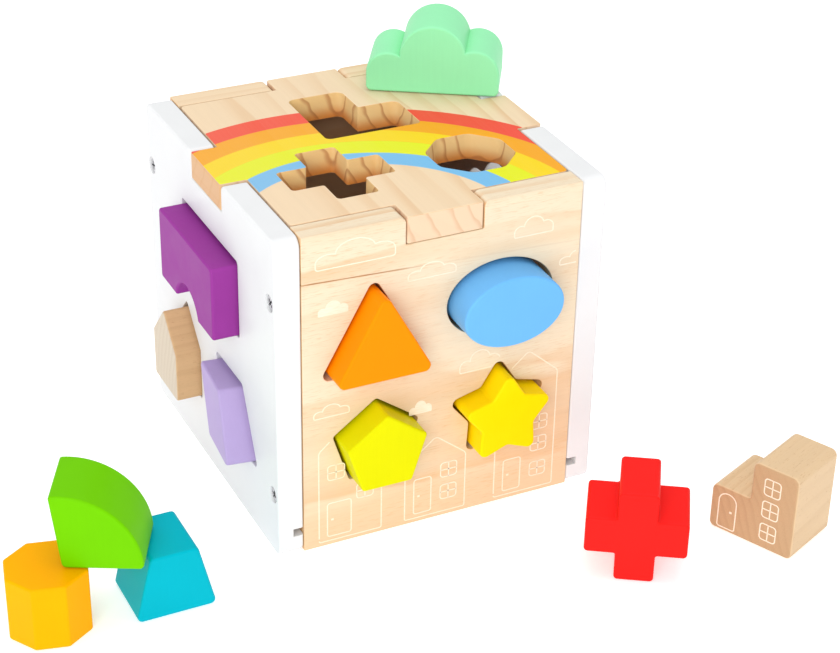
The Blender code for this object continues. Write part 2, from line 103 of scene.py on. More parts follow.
BOARD_EDGE = 0.4        # rounding of the natural boards' edges
PAINTED_EDGE = 0.9      # rounding of the painted side panels' edges
HOLE_EDGE = 0.3
PAINTED_HOLE_EDGE = 0.4
LID_HOLE_EDGE = 0.35
BLOCK_EDGE = 1.0
RELIEF = 0.2            # depth of the grain under a finish
CREASE = math.radians(38)


# ---- outlines
def grown(points, amount):
    """Move every edge of a counter-clockwise polygon outwards."""
    result = []
    count = len(points)
    for i in range(count):
        before = Vector(points[i - 1])
        here = Vector(points[i])
        after = Vector(points[(i + 1) % count])
        first = (here - before).normalized()
        second = (after - here).normalized()
        normal_a = Vector((first.y, -first.x))
        normal_b = Vector((second.y, -second.x))
        spread = max(0.4, 1.0 + normal_a.dot(normal_b))
        result.append(here + (normal_a + normal_b) * (amount / spread))
    return [(p.x, p.y) for p in result]


def rounded(points, radius, steps=6):
    """Round the corners of a polygon; radius is one number or one per corner."""
    count = len(points)
    radii = radius if isinstance(radius, (list, tuple)) else [radius] * count
    result = []
    for i in range(count):
        here = Vector(points[i])
        back = (Vector(points[i - 1]) - here).normalized()
        on = (Vector(points[(i + 1) % count]) - here).normalized()
        if radii[i] <= 0:
            result.append((here.x, here.y))
            continue
        half = math.acos(max(-1.0, min(1.0, back.dot(on)))) / 2
        reach = radii[i] / math.tan(half)
        middle = here + (back + on).normalized() * (radii[i] / math.sin(half))
        start = here + back * reach - middle
        turn = start.angle_signed(here + on * reach - middle)
        for k in range(steps + 1):
            angle = -turn * k / steps
            cos, sin = math.cos(angle), math.sin(angle)
            x = start.x * cos - start.y * sin
            y = start.x * sin + start.y * cos
            result.append((middle.x + x, middle.y + y))
    return result


def moved(points, dx, dy):
    return [(x + dx, y + dy) for x, y in points]


def mirrored(points):
    return [(-x, y) for x, y in reversed(points)]


def box_outline(x0, x1, y0, y1):
    return [(x0, y0), (x1, y0), (x1, y1), (x0, y1)]


def regular(sides, radius, first):
    turn = math.tau / sides
    return [(radius * math.cos(first + k * turn), radius * math.sin(first + k * turn))
            for k in range(sides)]


def triangle(grow=0.0):
    points = [(-TRIANGLE_HALF, -TRIANGLE_LOW), (TRIANGLE_HALF, -TRIANGLE_LOW), (0, TRIANGLE_HIGH)]
    return rounded(grown(points, grow), 2.6, 8)


def oval(grow=0.0):
    across, up = OVAL[0] + grow, OVAL[1] + grow
    return [(across * math.cos(k * math.tau / 96), up * math.sin(k * math.tau / 96)) for k in range(96)]


def pentagon(grow=0.0):
    return rounded(grown(regular(5, PENTAGON_RADIUS, math.pi / 2), grow), ROUND)


def star(grow=0.0):
    points = []
    for k in range(5):
        tip = math.pi / 2 + k * math.tau / 5
        dip = tip + math.pi / 5
        points.append((STAR_TIP * math.cos(tip), STAR_TIP * math.sin(tip)))
        points.append((STAR_DIP * math.cos(dip), STAR_DIP * math.sin(dip)))
    return rounded(grown(points, grow), [2.6, 3.0] * 5)


def cross(arm=CROSS_ARM, end=CROSS_END):
    points = [(arm, -end), (arm, -arm), (end, -arm), (end, arm), (arm, arm), (arm, end)]
    points += [(-arm, end), (-arm, arm), (-end, arm), (-end, -arm), (-arm, -arm), (-arm, -end)]
    return rounded(points, [ROUND, 1.0, ROUND] * 4)


def tall_house(grow=0.0):
    """House with a low wing on its left and a tall part on its right."""
    points = [(0, 0), (HOUSE_WIDTH, 0), (HOUSE_WIDTH, HOUSE_WIDTH), (HOUSE_WING_WIDTH, HOUSE_WIDTH)]
    points += [(HOUSE_WING_WIDTH, HOUSE_WING_HEIGHT), (0, HOUSE_WING_HEIGHT)]
    return rounded(grown(moved(points, -HOUSE_WIDTH / 2, 0), grow), [2.4, 2.4, 3.0, 3.0, 1.0, 3.0])


def octagon(grow=0.0, corner=ROUND):
    sharp = regular(8, OCTAGON_FLAT / math.cos(math.pi / 8), math.pi / 8)
    return rounded(grown(sharp, grow), corner)


def gable(grow=0.0):
    points = [(-GABLE_HALF, 0), (GABLE_HALF, 0), (GABLE_HALF, GABLE_EAVES)]
    points += [(0, GABLE_PEAK), (-GABLE_HALF, GABLE_EAVES)]
    return rounded(grown(points, grow), ROUND)


def rhombus(grow=0.0):
    reach = (RHOMBUS_BASE + RHOMBUS_SLANT) / 2
    near = reach - RHOMBUS_SLANT
    high = RHOMBUS_HALF_HEIGHT
    points = [(-near, -high), (reach, -high), (near, high), (-reach, high)]
    return rounded(grown(points, grow), 2.0)


def trapezoid(grow=0.0):
    points = [(-TRAPEZOID_FOOT, 0), (TRAPEZOID_FOOT, 0)]
    points += [(TRAPEZOID_HEAD, TRAPEZOID_HEIGHT), (-TRAPEZOID_HEAD, TRAPEZOID_HEIGHT)]
    return rounded(grown(points, grow), 2.0)


def bridge(grow=0.0):
    """Slab with an arched passage in its underside."""
    arch = BRIDGE_ARCH - grow
    half = BRIDGE_HALF + grow
    points = rounded(box_outline(-half, half, -grow, BRIDGE_HEIGHT + grow), ROUND)
    split = next(i for i, p in enumerate(points) if p[0] > 0)
    first = math.asin((BRIDGE_ARCH_DROP - grow) / arch)
    passage = []
    for k in range(25):
        angle = math.pi - first - (math.pi - 2 * first) * k / 24
        passage.append((arch * math.cos(angle), arch * math.sin(angle) - BRIDGE_ARCH_DROP))
    return points[:split] + passage + points[split:]


def quarter(grow=0.0):
    """Sector of a disc with its point at the lower left and a flat bottom."""
    across, up = QUARTER_ACROSS + grow, QUARTER_UP + grow
    turn = math.radians(QUARTER_OPENING) / 40
    arc = [(across * math.cos(k * turn), up * math.sin(k * turn)) for k in range(3, 39)]
    first = (across, -grow)
    last = (across * math.cos(40 * turn), up * math.sin(40 * turn))
    corners = rounded([first, arc[0], arc[-1], last, (-grow, -grow)], [2.0, 0, 0, 1.2, 2.0])
    return corners[:8] + arc[1:-1] + corners[8:]


def meeting(centre_a, radius_a, centre_b, radius_b):
    """Upper point where two circles cross."""
    a, b = Vector(centre_a), Vector(centre_b)
    gap = (b - a).length
    along = (radius_a ** 2 - radius_b ** 2 + gap ** 2) / (2 * gap)
    side = math.sqrt(radius_a ** 2 - along ** 2)
    axis = (b - a) / gap
    up = Vector((-axis.y, axis.x))
    return a + axis * along + up * side


def arc_between(centre, radius, start, end, steps):
    first = math.atan2(start[1] - centre[1], start[0] - centre[0])
    last = math.atan2(end[1] - centre[1], end[0] - centre[0])
    return [(centre[0] + radius * math.cos(first + (last - first) * k / steps),
             centre[1] + radius * math.sin(first + (last - first) * k / steps))
            for k in range(steps + 1)]


def cloud(grow=0.0):
    """Cloud of three bumps on a flat bottom."""
    left, middle, right = CLOUD_LEFT[:2], CLOUD_MIDDLE[:2], CLOUD_RIGHT[:2]
    small, big, last = CLOUD_LEFT[2] + grow, CLOUD_MIDDLE[2] + grow, CLOUD_RIGHT[2] + grow
    dip_a = meeting(left, small, middle, big)
    dip_b = meeting(middle, big, right, last)
    low_right = (right[0] + last, right[1])
    low_left = (left[0] - small, left[1])
    points = arc_between(right, last, low_right, dip_b, 14)
    points += arc_between(middle, big, dip_b, dip_a, 26)[1:]
    points += arc_between(left, small, dip_a, low_left, 14)[1:]
    corners = [(low_left[0], -grow), (low_right[0], -grow), low_right, low_left]
    return points + rounded(corners, [CLOUD_FOOT, CLOUD_FOOT, 0, 0])[:-2]


def panel_outline(half_width, foot_corner, top_corner):
    """Panel with a notch in the middle of its top edge."""
    notch = NOTCH_WIDTH / 2
    floor = SIDE - LID - NOTCH_DROP
    points = [(-half_width, 0), (half_width, 0), (half_width, SIDE), (notch, SIDE)]
    points += [(notch, floor), (-notch, floor), (-notch, SIDE), (-half_width, SIDE)]
    notch_corners = [SHOULDER, 0.6, 0.6, SHOULDER]
    return rounded(points, [foot_corner, foot_corner, top_corner] + notch_corners + [top_corner])


def lid_outline():
    edge = INNER - LID_GAP
    tab = TAB_WIDTH / 2
    quarter_turn = [(-tab, -edge), (-tab, -HALF), (tab, -HALF), (tab, -edge), (edge, -edge)]
    points = []
    for cos, sin in ((1, 0), (0, 1), (-1, 0), (0, -1)):
        points += [(x * cos - y * sin, x * sin + y * cos) for x, y in quarter_turn]
    return rounded(points, [0.4, 0.8, 0.8, 0.4, 2.0] * 4, 4)


# ---- meshes
def link(thing):
    bpy.context.scene.collection.objects.link(thing)


def flat_frame(across, up):
    """Matrix that maps x, y of an outline to two world directions; z is their cross product."""
    across, up = Vector(across), Vector(up)
    return Matrix((across, up, across.cross(up))).transposed().to_4x4()


FRONT = flat_frame((1, 0, 0), (0, 0, 1))
LEFT = flat_frame((0, -1, 0), (0, 0, 1))
RIGHT = flat_frame((0, 1, 0), (0, 0, 1))
BACK = flat_frame((-1, 0, 0), (0, 0, 1))
TOP = flat_frame((1, 0, 0), (0, 1, 0))


def world(matrix, point):
    return (matrix @ Vector(point) + CUBE_AT) * MM


def rim_levels(low, high, edge, steps=4):
    """Inset and height of each ring round a board whose rims are rounded."""
    levels = []
    for k in range(steps + 1):
        angle = math.pi / 2 * k / steps
        levels.append((edge * (1 - math.sin(angle)), low + edge * (1 - math.cos(angle))))
    return levels + [(inset, high + low - height) for inset, height in reversed(levels)]


def ring_at(mesh, outline, matrix, height):
    return [mesh.verts.new(world(matrix, (x, y, height))) for x, y in outline]


def around(count):
    """Neighbouring pairs of numbers round a ring."""
    return [(i, (i + 1) % count) for i in range(count)]


def add_rings(mesh, outline, matrix, low, high, edge, grow_sign):
    """Add the wall of one outline; returns its first and last rings."""
    rings = []
    for inset, height in rim_levels(low, high, edge):
        rings.append(ring_at(mesh, grown(outline, grow_sign * inset), matrix, height))
    for lower, upper in zip(rings, rings[1:]):
        for i, j in around(len(outline)):
            quad = (lower[i], lower[j], upper[j], upper[i])
            mesh.faces.new(quad if grow_sign < 0 else tuple(reversed(quad)))
    return rings[0], rings[-1]


def add_cap(mesh, loops, matrix, upwards):
    """Close one end across all its loops, the first of which is the outer one."""
    if len(loops) == 1:
        mesh.faces.new(loops[0] if upwards else list(reversed(loops[0])))
        return
    verts = [vert for loop in loops for vert in loop]
    flat = matrix.inverted()
    flats = [[flat @ (vert.co / MM - CUBE_AT) for vert in loop] for loop in loops]
    for a, b, c in geometry.tessellate_polygon([[Vector((p.x, p.y, 0)) for p in loop] for loop in flats]):
        corners = [verts[a], verts[b], verts[c]]
        normal = geometry.normal([vert.co for vert in corners])
        facing = normal.dot(matrix.to_3x3() @ Vector((0, 0, 1 if upwards else -1)))
        mesh.faces.new(corners if facing > 0 else list(reversed(corners)))


def slab(name, outline, holes, matrix, low, high, edge, hole_edge=HOLE_EDGE):
    """Board or block with rounded rims, pushed from low to high along the matrix's third axis."""
    mesh = bmesh.new()
    first, last = add_rings(mesh, outline, matrix, low, high, edge, -1)
    lows, highs = [first], [last]
    for hole in holes:
        first, last = add_rings(mesh, hole, matrix, low, high, hole_edge, 1)
        lows.append(first)
        highs.append(last)
    add_cap(mesh, lows, matrix, False)
    add_cap(mesh, highs, matrix, True)
    return as_object(name, mesh)


def as_object(name, mesh):
    data = bpy.data.meshes.new(name)
    mesh.to_mesh(data)
    mesh.free()
    data.shade_smooth()
    data.set_sharp_from_angle(angle=CREASE)
    piece = bpy.data.objects.new(name, data)
    link(piece)
    return piece


def even_normals(piece):
    """Keep broad faces flat in the light while their rims stay soft."""
    modifier = piece.modifiers.new("even_normals", "WEIGHTED_NORMAL")
    modifier.keep_sharp = True
    modifier.weight = 100


def add_plain_prism(mesh, outline, low, high, matrix):
    bottom = ring_at(mesh, outline, matrix, low)
    top = ring_at(mesh, outline, matrix, high)
    mesh.faces.new(list(reversed(bottom)))
    mesh.faces.new(top)
    for i, j in around(len(outline)):
        mesh.faces.new((bottom[i], bottom[j], top[j], top[i]))


def add_lathe(mesh, profile, matrix, sides):
    """Add one closed turned solid; profile runs from axis to axis along +z."""
    rings = []
    for radius, height in profile:
        if radius == 0:
            rings.append(ring_at(mesh, [(0, 0)], matrix, height))
            continue
        rings.append(ring_at(mesh, regular(sides, radius, 0.0), matrix, height))
    for lower, upper in zip(rings, rings[1:]):
        for i, j in around(sides):
            if len(lower) == 1:
                mesh.faces.new((lower[0], upper[j], upper[i]))
            elif len(upper) == 1:
                mesh.faces.new((lower[i], lower[j], upper[0]))
            else:
                mesh.faces.new((lower[i], lower[j], upper[j], upper[i]))


def subtract(piece, mesh, name):
    """Cut closed shells out of a piece for good."""
    bmesh.ops.recalc_face_normals(mesh, faces=mesh.faces)
    tool = as_object(name, mesh)
    modifier = piece.modifiers.new("cut", "BOOLEAN")
    modifier.operation = "DIFFERENCE"
    modifier.solver = "EXACT"
    modifier.object = tool
    bpy.context.view_layer.update()
    evaluated = piece.evaluated_get(bpy.context.evaluated_depsgraph_get())
    cut = bpy.data.meshes.new_from_object(evaluated)
    piece.modifiers.remove(modifier)
    piece.data = cut
    bpy.data.objects.remove(tool)
    cut.shade_smooth()
    cut.set_sharp_from_angle(angle=CREASE)


def dress(piece, material, body, slot, *nodes):
    piece.data.materials.clear()
    piece.data.materials.append(material)
    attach(piece, body)
    if nodes:
        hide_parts(*nodes)


# ---- node helpers
def srgb(red, green, blue):
    """Screen colour, 0 to 255, as a linear colour with alpha."""
    channels = []
    for value in (red, green, blue):
        share = value / 255
        channels.append(share / 12.92 if share <= 0.04045 else ((share + 0.055) / 1.055) ** 2.4)
    return (*channels, 1.0)


def node(tree, kind, inputs=None, **settings):
    made = tree.nodes.new(kind)
    for key, value in settings.items():
        setattr(made, key, value)
    for key, value in (inputs or {}).items():
        if isinstance(value, bpy.types.NodeSocket):
            tree.links.new(value, made.inputs[key])
        else:
            made.inputs[key].default_value = value
    return made


def calc(tree, operation, a, b=0.0, c=0.0):
    return node(tree, "ShaderNodeMath", {0: a, 1: b, 2: c}, operation=operation).outputs[0]


def plus(tree, a, b):
    return calc(tree, "ADD", a, b)


def minus(tree, a, b):
    return calc(tree, "SUBTRACT", a, b)


def times(tree, a, b):
    return calc(tree, "MULTIPLY", a, b)


def distance_from(tree, a, b):
    return calc(tree, "SQRT", plus(tree, times(tree, a, a), times(tree, b, b)))


def spread(tree, value, amount):
    """A share between 0 and 1 as a change of that much, up or down."""
    return times(tree, minus(tree, value, 0.5), amount)


def split(tree, vector):
    return node(tree, "ShaderNodeSeparateXYZ", {0: vector}).outputs


def grey(tree, value):
    return node(tree, "ShaderNodeCombineColor", {0: value, 1: value, 2: value}).outputs[0]


def blend(tree, factor, a, b, mode="MIX"):
    made = node(tree, "ShaderNodeMix", {0: factor, 6: a, 7: b}, data_type="RGBA", blend_type=mode)
    return made.outputs[2]


def shaded(tree, colour, change):
    """Colour made lighter or darker by a share of itself."""
    return blend(tree, 1.0, colour, grey(tree, plus(tree, change, 1.0)), "MULTIPLY")


def ramp(tree, factor, low, high, start=0.0, end=1.0):
    """Map factor smoothly from the range low..high to start..end."""
    return node(tree, "ShaderNodeMapRange", {0: factor, 1: low, 2: high, 3: start, 4: end},
                interpolation_type="SMOOTHSTEP").outputs[0]


def millimetres(tree):
    """The piece's normal, and its place in millimetres from the cube's middle."""
    coordinates = node(tree, "ShaderNodeTexCoord").outputs
    scaled = node(tree, "ShaderNodeVectorMath", {0: coordinates["Object"], 1: (1 / MM,) * 3},
                  operation="MULTIPLY").outputs[0]
    place = node(tree, "ShaderNodeVectorMath", {0: scaled, 1: tuple(-CUBE_AT)}, operation="ADD").outputs[0]
    return coordinates["Normal"], place


def turned(tree, place, rotation, offset=(0, 0, 0)):
    """Turn a place into a block's own grain directions."""
    return node(tree, "ShaderNodeMapping", {"Vector": place, "Rotation": rotation, "Location": offset},
                vector_type="POINT").outputs[0]


def noise(tree, place, scale, detail=3.0, roughness=0.5):
    """Noise whose scale may differ along each axis, in cells per millimetre."""
    stretched = node(tree, "ShaderNodeVectorMath", {0: place, 1: scale}, operation="MULTIPLY").outputs[0]
    made = node(tree, "ShaderNodeTexNoise",
                {"Vector": stretched, "Scale": 1.0, "Detail": detail, "Roughness": roughness})
    return made.outputs["Fac"]


def feed(tree, shader, name, socket):
    tree.links.new(socket, shader.inputs[name])


def add_relief(tree, shader, height, strength):
    bump = node(tree, "ShaderNodeBump", {"Strength": strength, "Distance": RELIEF * MM, "Height": height})
    feed(tree, shader, "Normal", bump.outputs[0])


def set_values(shader, values):
    for name, value in values.items():
        shader.inputs[name].default_value = value


def new_material(name):
    material = bpy.data.materials.new(name)
    material.use_nodes = True
    tree = material.node_tree
    return material, tree, tree.nodes["Principled BSDF"]


# ---- materials
def ring_line(tree, turn, start):
    """Dark late wood: grows from start to the end of a ring, then stops short."""
    return times(tree, ramp(tree, turn, start, 0.93), ramp(tree, turn, 0.93, 1.0, 1.0, 0.0))


def wood_colour(tree, place, normal, look):
    """Growth rings, fibres and end grain for wood whose grain runs along axis 0 of place.

    look holds light, dark and end colours, heart (where the tree's middle was), ring width and strengths.
    """
    slow = noise(tree, place, (0.004, 0.016, 0.016), 2.0)
    wave = noise(tree, place, (0.012, 0.06, 0.06), 2.0)
    parts = split(tree, place)
    shift = spread(tree, slow, look["drift"])
    across = plus(tree, minus(tree, parts[1], look["heart"][0]), shift)
    deep = minus(tree, parts[2], look["heart"][1])
    radius = distance_from(tree, across, deep)
    radius = calc(tree, "MULTIPLY_ADD", wave, look["wobble"], radius)
    turn = calc(tree, "FRACT", calc(tree, "DIVIDE", radius, look["ring"]))
    late = ring_line(tree, turn, 0.35)
    fade = noise(tree, place, (0.007, 0.03, 0.03), 2.0)
    late = times(tree, late, ramp(tree, fade, 0.3, 0.7, look["ring_low"], look["ring_high"]))
    fibre = noise(tree, place, (0.035, 2.2, 2.2), 4.0, 0.65)
    streak = noise(tree, place, (0.02, 0.45, 0.45), 3.0, 0.6)
    colour = blend(tree, late, look["light"], look["dark"])
    toned = plus(tree, spread(tree, fibre, look["fibre"]), spread(tree, streak, look["streak"]))
    colour = shaded(tree, colour, toned)
    direction = split(tree, normal)[look["normal_axis"]]
    end = ramp(tree, calc(tree, "ABSOLUTE", direction), 0.55, 0.9)
    dots = noise(tree, place, (1.0, 2.4, 2.4), 3.0, 0.7)
    end_tone = blend(tree, times(tree, late, 0.9), look["end"], look["end_dark"])
    end_tone = blend(tree, ramp(tree, dots, 0.4, 0.75, 0.0, 0.25), end_tone, look["end_dark"])
    colour = blend(tree, times(tree, end, look["end_share"]), colour, end_tone)
    height = plus(tree, times(tree, late, 0.5), fibre)
    return colour, height, end


PINE = {"light": srgb(232, 207, 173), "dark": srgb(216, 174, 128), "end": srgb(232, 190, 140),
        "end_dark": srgb(158, 100, 56), "heart": (40.0, -60.0), "ring": 5.6, "drift": 26.0, "wobble": 5.0,
        "ring_low": 0.1, "ring_high": 0.75, "fibre": 0.07, "streak": 0.08, "end_share": 0.85,
        "normal_axis": 0}
BEECH = {"light": srgb(219, 189, 150), "dark": srgb(196, 158, 116), "end": srgb(190, 156, 118),
         "end_dark": srgb(158, 120, 84), "heart": (30.0, -50.0), "ring": 3.4, "drift": 14.0, "wobble": 3.0,
         "ring_low": 0.05, "ring_high": 0.3, "fibre": 0.1, "streak": 0.1, "end_share": 0.95,
         "normal_axis": 0}


GABLE_TONES = {"light": srgb(206, 168, 125), "dark": srgb(188, 148, 106), "end": srgb(208, 195, 175),
               "end_dark": srgb(186, 166, 142)}


def grain_place(tree, place, along):
    """Reorder a place so that the grain runs along its first axis."""
    parts = split(tree, place)
    order = {"X": (0, 2, 1), "Y": (1, 0, 2), "Z": (2, 0, 1)}[along]
    return node(tree, "ShaderNodeCombineXYZ", {k: parts[order[k]] for k in range(3)}).outputs[0]


def outermost(tree, parts):
    """Distance from the cube's middle along x or y, whichever is larger."""
    return calc(tree, "MAXIMUM", calc(tree, "ABSOLUTE", parts[0]), calc(tree, "ABSOLUTE", parts[1]))


def painted_inside_shade(tree, place, colour):
    """Painted shade: dark brown laid over the faces inside the box below the lid, standing in for the shade
    in the closed box and its gaps.
    """
    parts = split(tree, place)
    reach = outermost(tree, parts)
    inner = ramp(tree, reach, INNER + 0.1, INNER + 1.6, 0.62, 0.0)
    low = ramp(tree, parts[2], SIDE - LID - 1.0, SIDE - LID + 0.1, 1.0, 0.0)
    # brown painted shade on the inner faces, fading out across the hole walls
    return blend(tree, times(tree, inner, low), colour, srgb(142, 84, 28))


def finish_wood(tree, shader, colour, height, rough=0.52, strength=0.12):
    feed(tree, shader, "Base Color", colour)
    feed(tree, shader, "Roughness", ramp(tree, height, 0.3, 1.3, rough - 0.06, rough + 0.08))
    add_relief(tree, shader, height, strength)
    shader.inputs["Specular IOR Level"].default_value = 0.18


def pine_board(name, along, **changes):
    """Natural pine; along is the world axis its grain follows."""
    material, tree, shader = new_material(name)
    normal, place = millimetres(tree)
    look = {**PINE, "normal_axis": "XYZ".index(along), **changes}
    grain = grain_place(tree, place, along)
    colour, height, _ = wood_colour(tree, grain, normal, look)
    return material, tree, shader, place, normal, colour, height


def board_seam(tree, place, colour):
    """Dark glue line near the front panel's top edge, strongest at the left."""
    parts = split(tree, place)
    line = calc(tree, "MULTIPLY_ADD", parts[0], -0.045, 117.6)
    away = calc(tree, "ABSOLUTE", minus(tree, parts[2], line))
    wiggle = noise(tree, place, (0.08, 0.2, 0.2), 2.0)
    away = calc(tree, "MULTIPLY_ADD", wiggle, 0.5, away)
    thin = ramp(tree, away, 0.3, 0.75, 1.0, 0.0)
    left = ramp(tree, parts[0], -30.0, 0.0, 1.0, 0.12)
    colour = blend(tree, times(tree, thin, left), colour, srgb(170, 122, 78))
    band_place = calc(tree, "ABSOLUTE", minus(tree, parts[2], 118.8))
    band = ramp(tree, band_place, 0.5, 4.5, 0.3, 0.0)
    right = ramp(tree, parts[0], -10.0, 14.0)
    return blend(tree, times(tree, band, right), colour, srgb(228, 190, 146))


def lower_band(tree, place, colour):
    """Darker strip of board along the bottom of the front panel."""
    parts = split(tree, place)
    wiggle = noise(tree, place, (0.02, 0.1, 0.1), 2.0)
    edge = calc(tree, "MULTIPLY_ADD", wiggle, -8.0, parts[2])
    strength = ramp(tree, edge, 8.0, 24.0, 0.5, 0.0)
    return blend(tree, strength, colour, srgb(224, 180, 128))


def short_flecks(tree, place, colour):
    """Short thin marks that follow the grain."""
    marks = noise(tree, place, (0.16, 1.9, 1.9), 3.0, 0.6)
    patches = noise(tree, place, (0.02, 0.05, 0.05), 2.0)
    strength = ramp(tree, patches, 0.35, 0.65, 0.3, 1.0)
    strength = times(tree, ramp(tree, marks, 0.5, 0.7, 0.0, 0.55), strength)
    return blend(tree, strength, colour, srgb(214, 172, 124))


def make_front_pine():
    material, tree, shader, place, _, colour, height = pine_board(
        "pine_front", "X", heart=(45.0, 160.0), ring=6.5, ring_low=0.12, ring_high=0.6, drift=14.0,
        light=srgb(231, 214, 186), dark=srgb(218, 172, 122), streak=0.12)
    colour = board_seam(tree, place, colour)
    colour = lower_band(tree, place, colour)
    colour = short_flecks(tree, place, colour)
    # painted shade inside the box
    colour = painted_inside_shade(tree, place, colour)
    finish_wood(tree, shader, colour, height)
    return material


def make_back_pine():
    material, tree, shader, place, _, colour, height = pine_board(
        "pine_back", "X", heart=(70.0, -80.0), ring=6.5, ring_high=0.45)
    # painted shade inside the box
    colour = painted_inside_shade(tree, place, colour)
    finish_wood(tree, shader, colour, height)
    return material


RAINBOW_MIDDLE = (-28.6, -72.1)
RAINBOW = ((53.0, (112, 182, 226)), (63.4, (220, 228, 8)), (74.4, (238, 207, 0)),
           (84.8, (236, 162, 8)), (95.5, (232, 74, 54)), (106.1, None))


def rainbow_over(tree, place, normal, colour):
    """Print the rainbow's rings on the lid's upward faces; some grain shows through."""
    parts = split(tree, place)
    dx = minus(tree, parts[0], RAINBOW_MIDDLE[0])
    dy = minus(tree, parts[1], RAINBOW_MIDDLE[1])
    distance = distance_from(tree, dx, dy)
    ragged = noise(tree, place, (1.5, 1.5, 1.5), 2.0)
    distance = calc(tree, "MULTIPLY_ADD", ragged, 0.35, distance)
    blur = 0.18
    paint = srgb(*RAINBOW[0][1])
    for start, tone in RAINBOW[1:-1]:
        paint = blend(tree, ramp(tree, distance, start - blur, start + blur), paint, srgb(*tone))
    inside = ramp(tree, distance, RAINBOW[0][0] - blur, RAINBOW[0][0] + blur)
    outside = ramp(tree, distance, RAINBOW[-1][0] - blur, RAINBOW[-1][0] + blur, 1.0, 0.0)
    up = ramp(tree, split(tree, normal)[2], 0.45, 0.6)
    cover = times(tree, times(tree, inside, outside), up)
    grain = noise(tree, place, (1.6, 0.05, 0.5), 3.0)
    cover = times(tree, cover, ramp(tree, grain, 0.2, 0.8, 1.0, 0.97))
    cover = times(tree, cover, ramp(tree, parts[0], -60.0, 40.0, 0.93, 1.0))
    return blend(tree, cover, colour, paint)


def cut_walls(tree, place, normal, colour):
    """Warm wood on the walls of the lid's holes, with slanted rings, and painted shade: the walls grow
    darker and more orange lower down, standing in for shade and warm bounce light; lighter on its outer
    edges, darker at its left end.
    """
    parts = split(tree, place)
    facing = calc(tree, "ABSOLUTE", split(tree, normal)[2])
    upright = ramp(tree, facing, 0.3, 0.6, 1.0, 0.0)
    reach = outermost(tree, parts)
    hole = ramp(tree, reach, INNER - 3.0, INNER - 1.0, 1.0, 0.0)
    deep = ramp(tree, parts[2], SIDE - LID, SIDE - 4.5, 1.0, 0.0)
    sideways = plus(tree, parts[0], parts[1])
    slant = calc(tree, "MULTIPLY_ADD", parts[2], 0.5, sideways)
    wander = noise(tree, place, (0.05, 0.05, 0.05), 2.0)
    ring = calc(tree, "FRACT", calc(tree, "DIVIDE", calc(tree, "MULTIPLY_ADD", wander, 14.0, slant), 9.0))
    line = ring_line(tree, ring, 0.72)
    # painted shade and painted bounce light: pale at the top of each hole, deep orange lower down
    wall_with_painted_shade = blend(tree, deep, srgb(255, 218, 152), srgb(238, 150, 62))
    wall_with_painted_shade = blend(tree, times(tree, line, 0.6), wall_with_painted_shade, srgb(176, 96, 44))
    outer = blend(tree, times(tree, line, 0.35), srgb(230, 202, 172), srgb(190, 136, 92))
    left = ramp(tree, parts[0], -HALF - 0.2, -HALF + 1.6, 0.75, 0.0)
    outer = blend(tree, left, outer, srgb(206, 152, 96))
    wall_with_painted_shade = blend(tree, hole, outer, wall_with_painted_shade)
    return blend(tree, times(tree, upright, 0.9), colour, wall_with_painted_shade)


def make_lid_pine():
    material, tree, shader, place, normal, colour, height = pine_board(
        "pine_lid", "Y", heart=(-70.0, 60.0), ring=7.5, ring_low=0.15, ring_high=0.65, end_share=0.9)
    colour = cut_walls(tree, place, normal, colour)
    colour = rainbow_over(tree, place, normal, colour)
    finish_wood(tree, shader, colour, height)
    return material


def make_plywood():
    """Thin plywood: plain faces, and three plies at its edge."""
    material, tree, shader = new_material("plywood")
    normal, place = millimetres(tree)
    look = {**BEECH, "light": srgb(176, 136, 92), "dark": srgb(150, 108, 68), "ring": 9.0, "normal_axis": 0}
    colour, height, _ = wood_colour(tree, grain_place(tree, place, "X"), normal, look)
    level = split(tree, place)[2]
    ply = calc(tree, "PINGPONG", minus(tree, level, 8.5), 1.0)
    middle = ramp(tree, ply, 0.42, 0.58, 0.0, 0.5)
    colour = blend(tree, middle, colour, srgb(130, 90, 54))
    finish_wood(tree, shader, colour, height, 0.6)
    return material


def painted(name, tone, rough=0.38, grain="Z", texture=0.05, sheen=0.04, relief=0.1, inside_shade=False):
    """Satin paint over wood: faint grain telegraphs through, with small changes of tone and gloss."""
    material, tree, shader = new_material(name)
    _, place = millimetres(tree)
    order = grain_place(tree, place, grain)
    fibre = noise(tree, order, (0.05, 0.9, 0.9), 4.0, 0.6)
    cloudy = noise(tree, place, (0.05, 0.05, 0.05), 3.0)
    orange_peel = noise(tree, place, (1.1, 1.1, 1.1), 2.0)
    tone_shift = plus(tree, spread(tree, cloudy, 0.10), spread(tree, fibre, texture))
    colour = shaded(tree, srgb(*tone), tone_shift)
    # painted shade: brown on the faces inside the box
    if inside_shade:
        colour = painted_inside_shade(tree, place, colour)
    feed(tree, shader, "Base Color", colour)
    feed(tree, shader, "Roughness", ramp(tree, cloudy, 0.3, 0.7, rough - 0.05, rough + 0.07))
    height = plus(tree, times(tree, fibre, 0.6), times(tree, orange_peel, 0.5))
    add_relief(tree, shader, height, relief)
    shader.inputs["Specular IOR Level"].default_value = sheen
    return material


def make_beech(name, turn=0.0, along="Y", seed=0.0, **changes):
    """Clear-coated beech block with its short dark flecks."""
    material, tree, shader = new_material(name)
    normal, place = millimetres(tree)
    place = turned(tree, place, (0, 0, -turn), (seed, seed, seed))
    normal = turned(tree, normal, (0, 0, -turn))
    look = {**BEECH, "normal_axis": "XYZ".index(along), **changes}
    grain = grain_place(tree, place, along)
    colour, height, end = wood_colour(tree, grain, normal, look)
    fleck = noise(tree, grain, (0.35, 3.2, 3.2), 2.0, 0.6)
    spots = times(tree, ramp(tree, fleck, 0.62, 0.72), ramp(tree, end, 0.0, 1.0, 0.45, 0.1))
    colour = blend(tree, spots, colour, srgb(166, 112, 74))
    finish_wood(tree, shader, colour, height, 0.48)
    return material


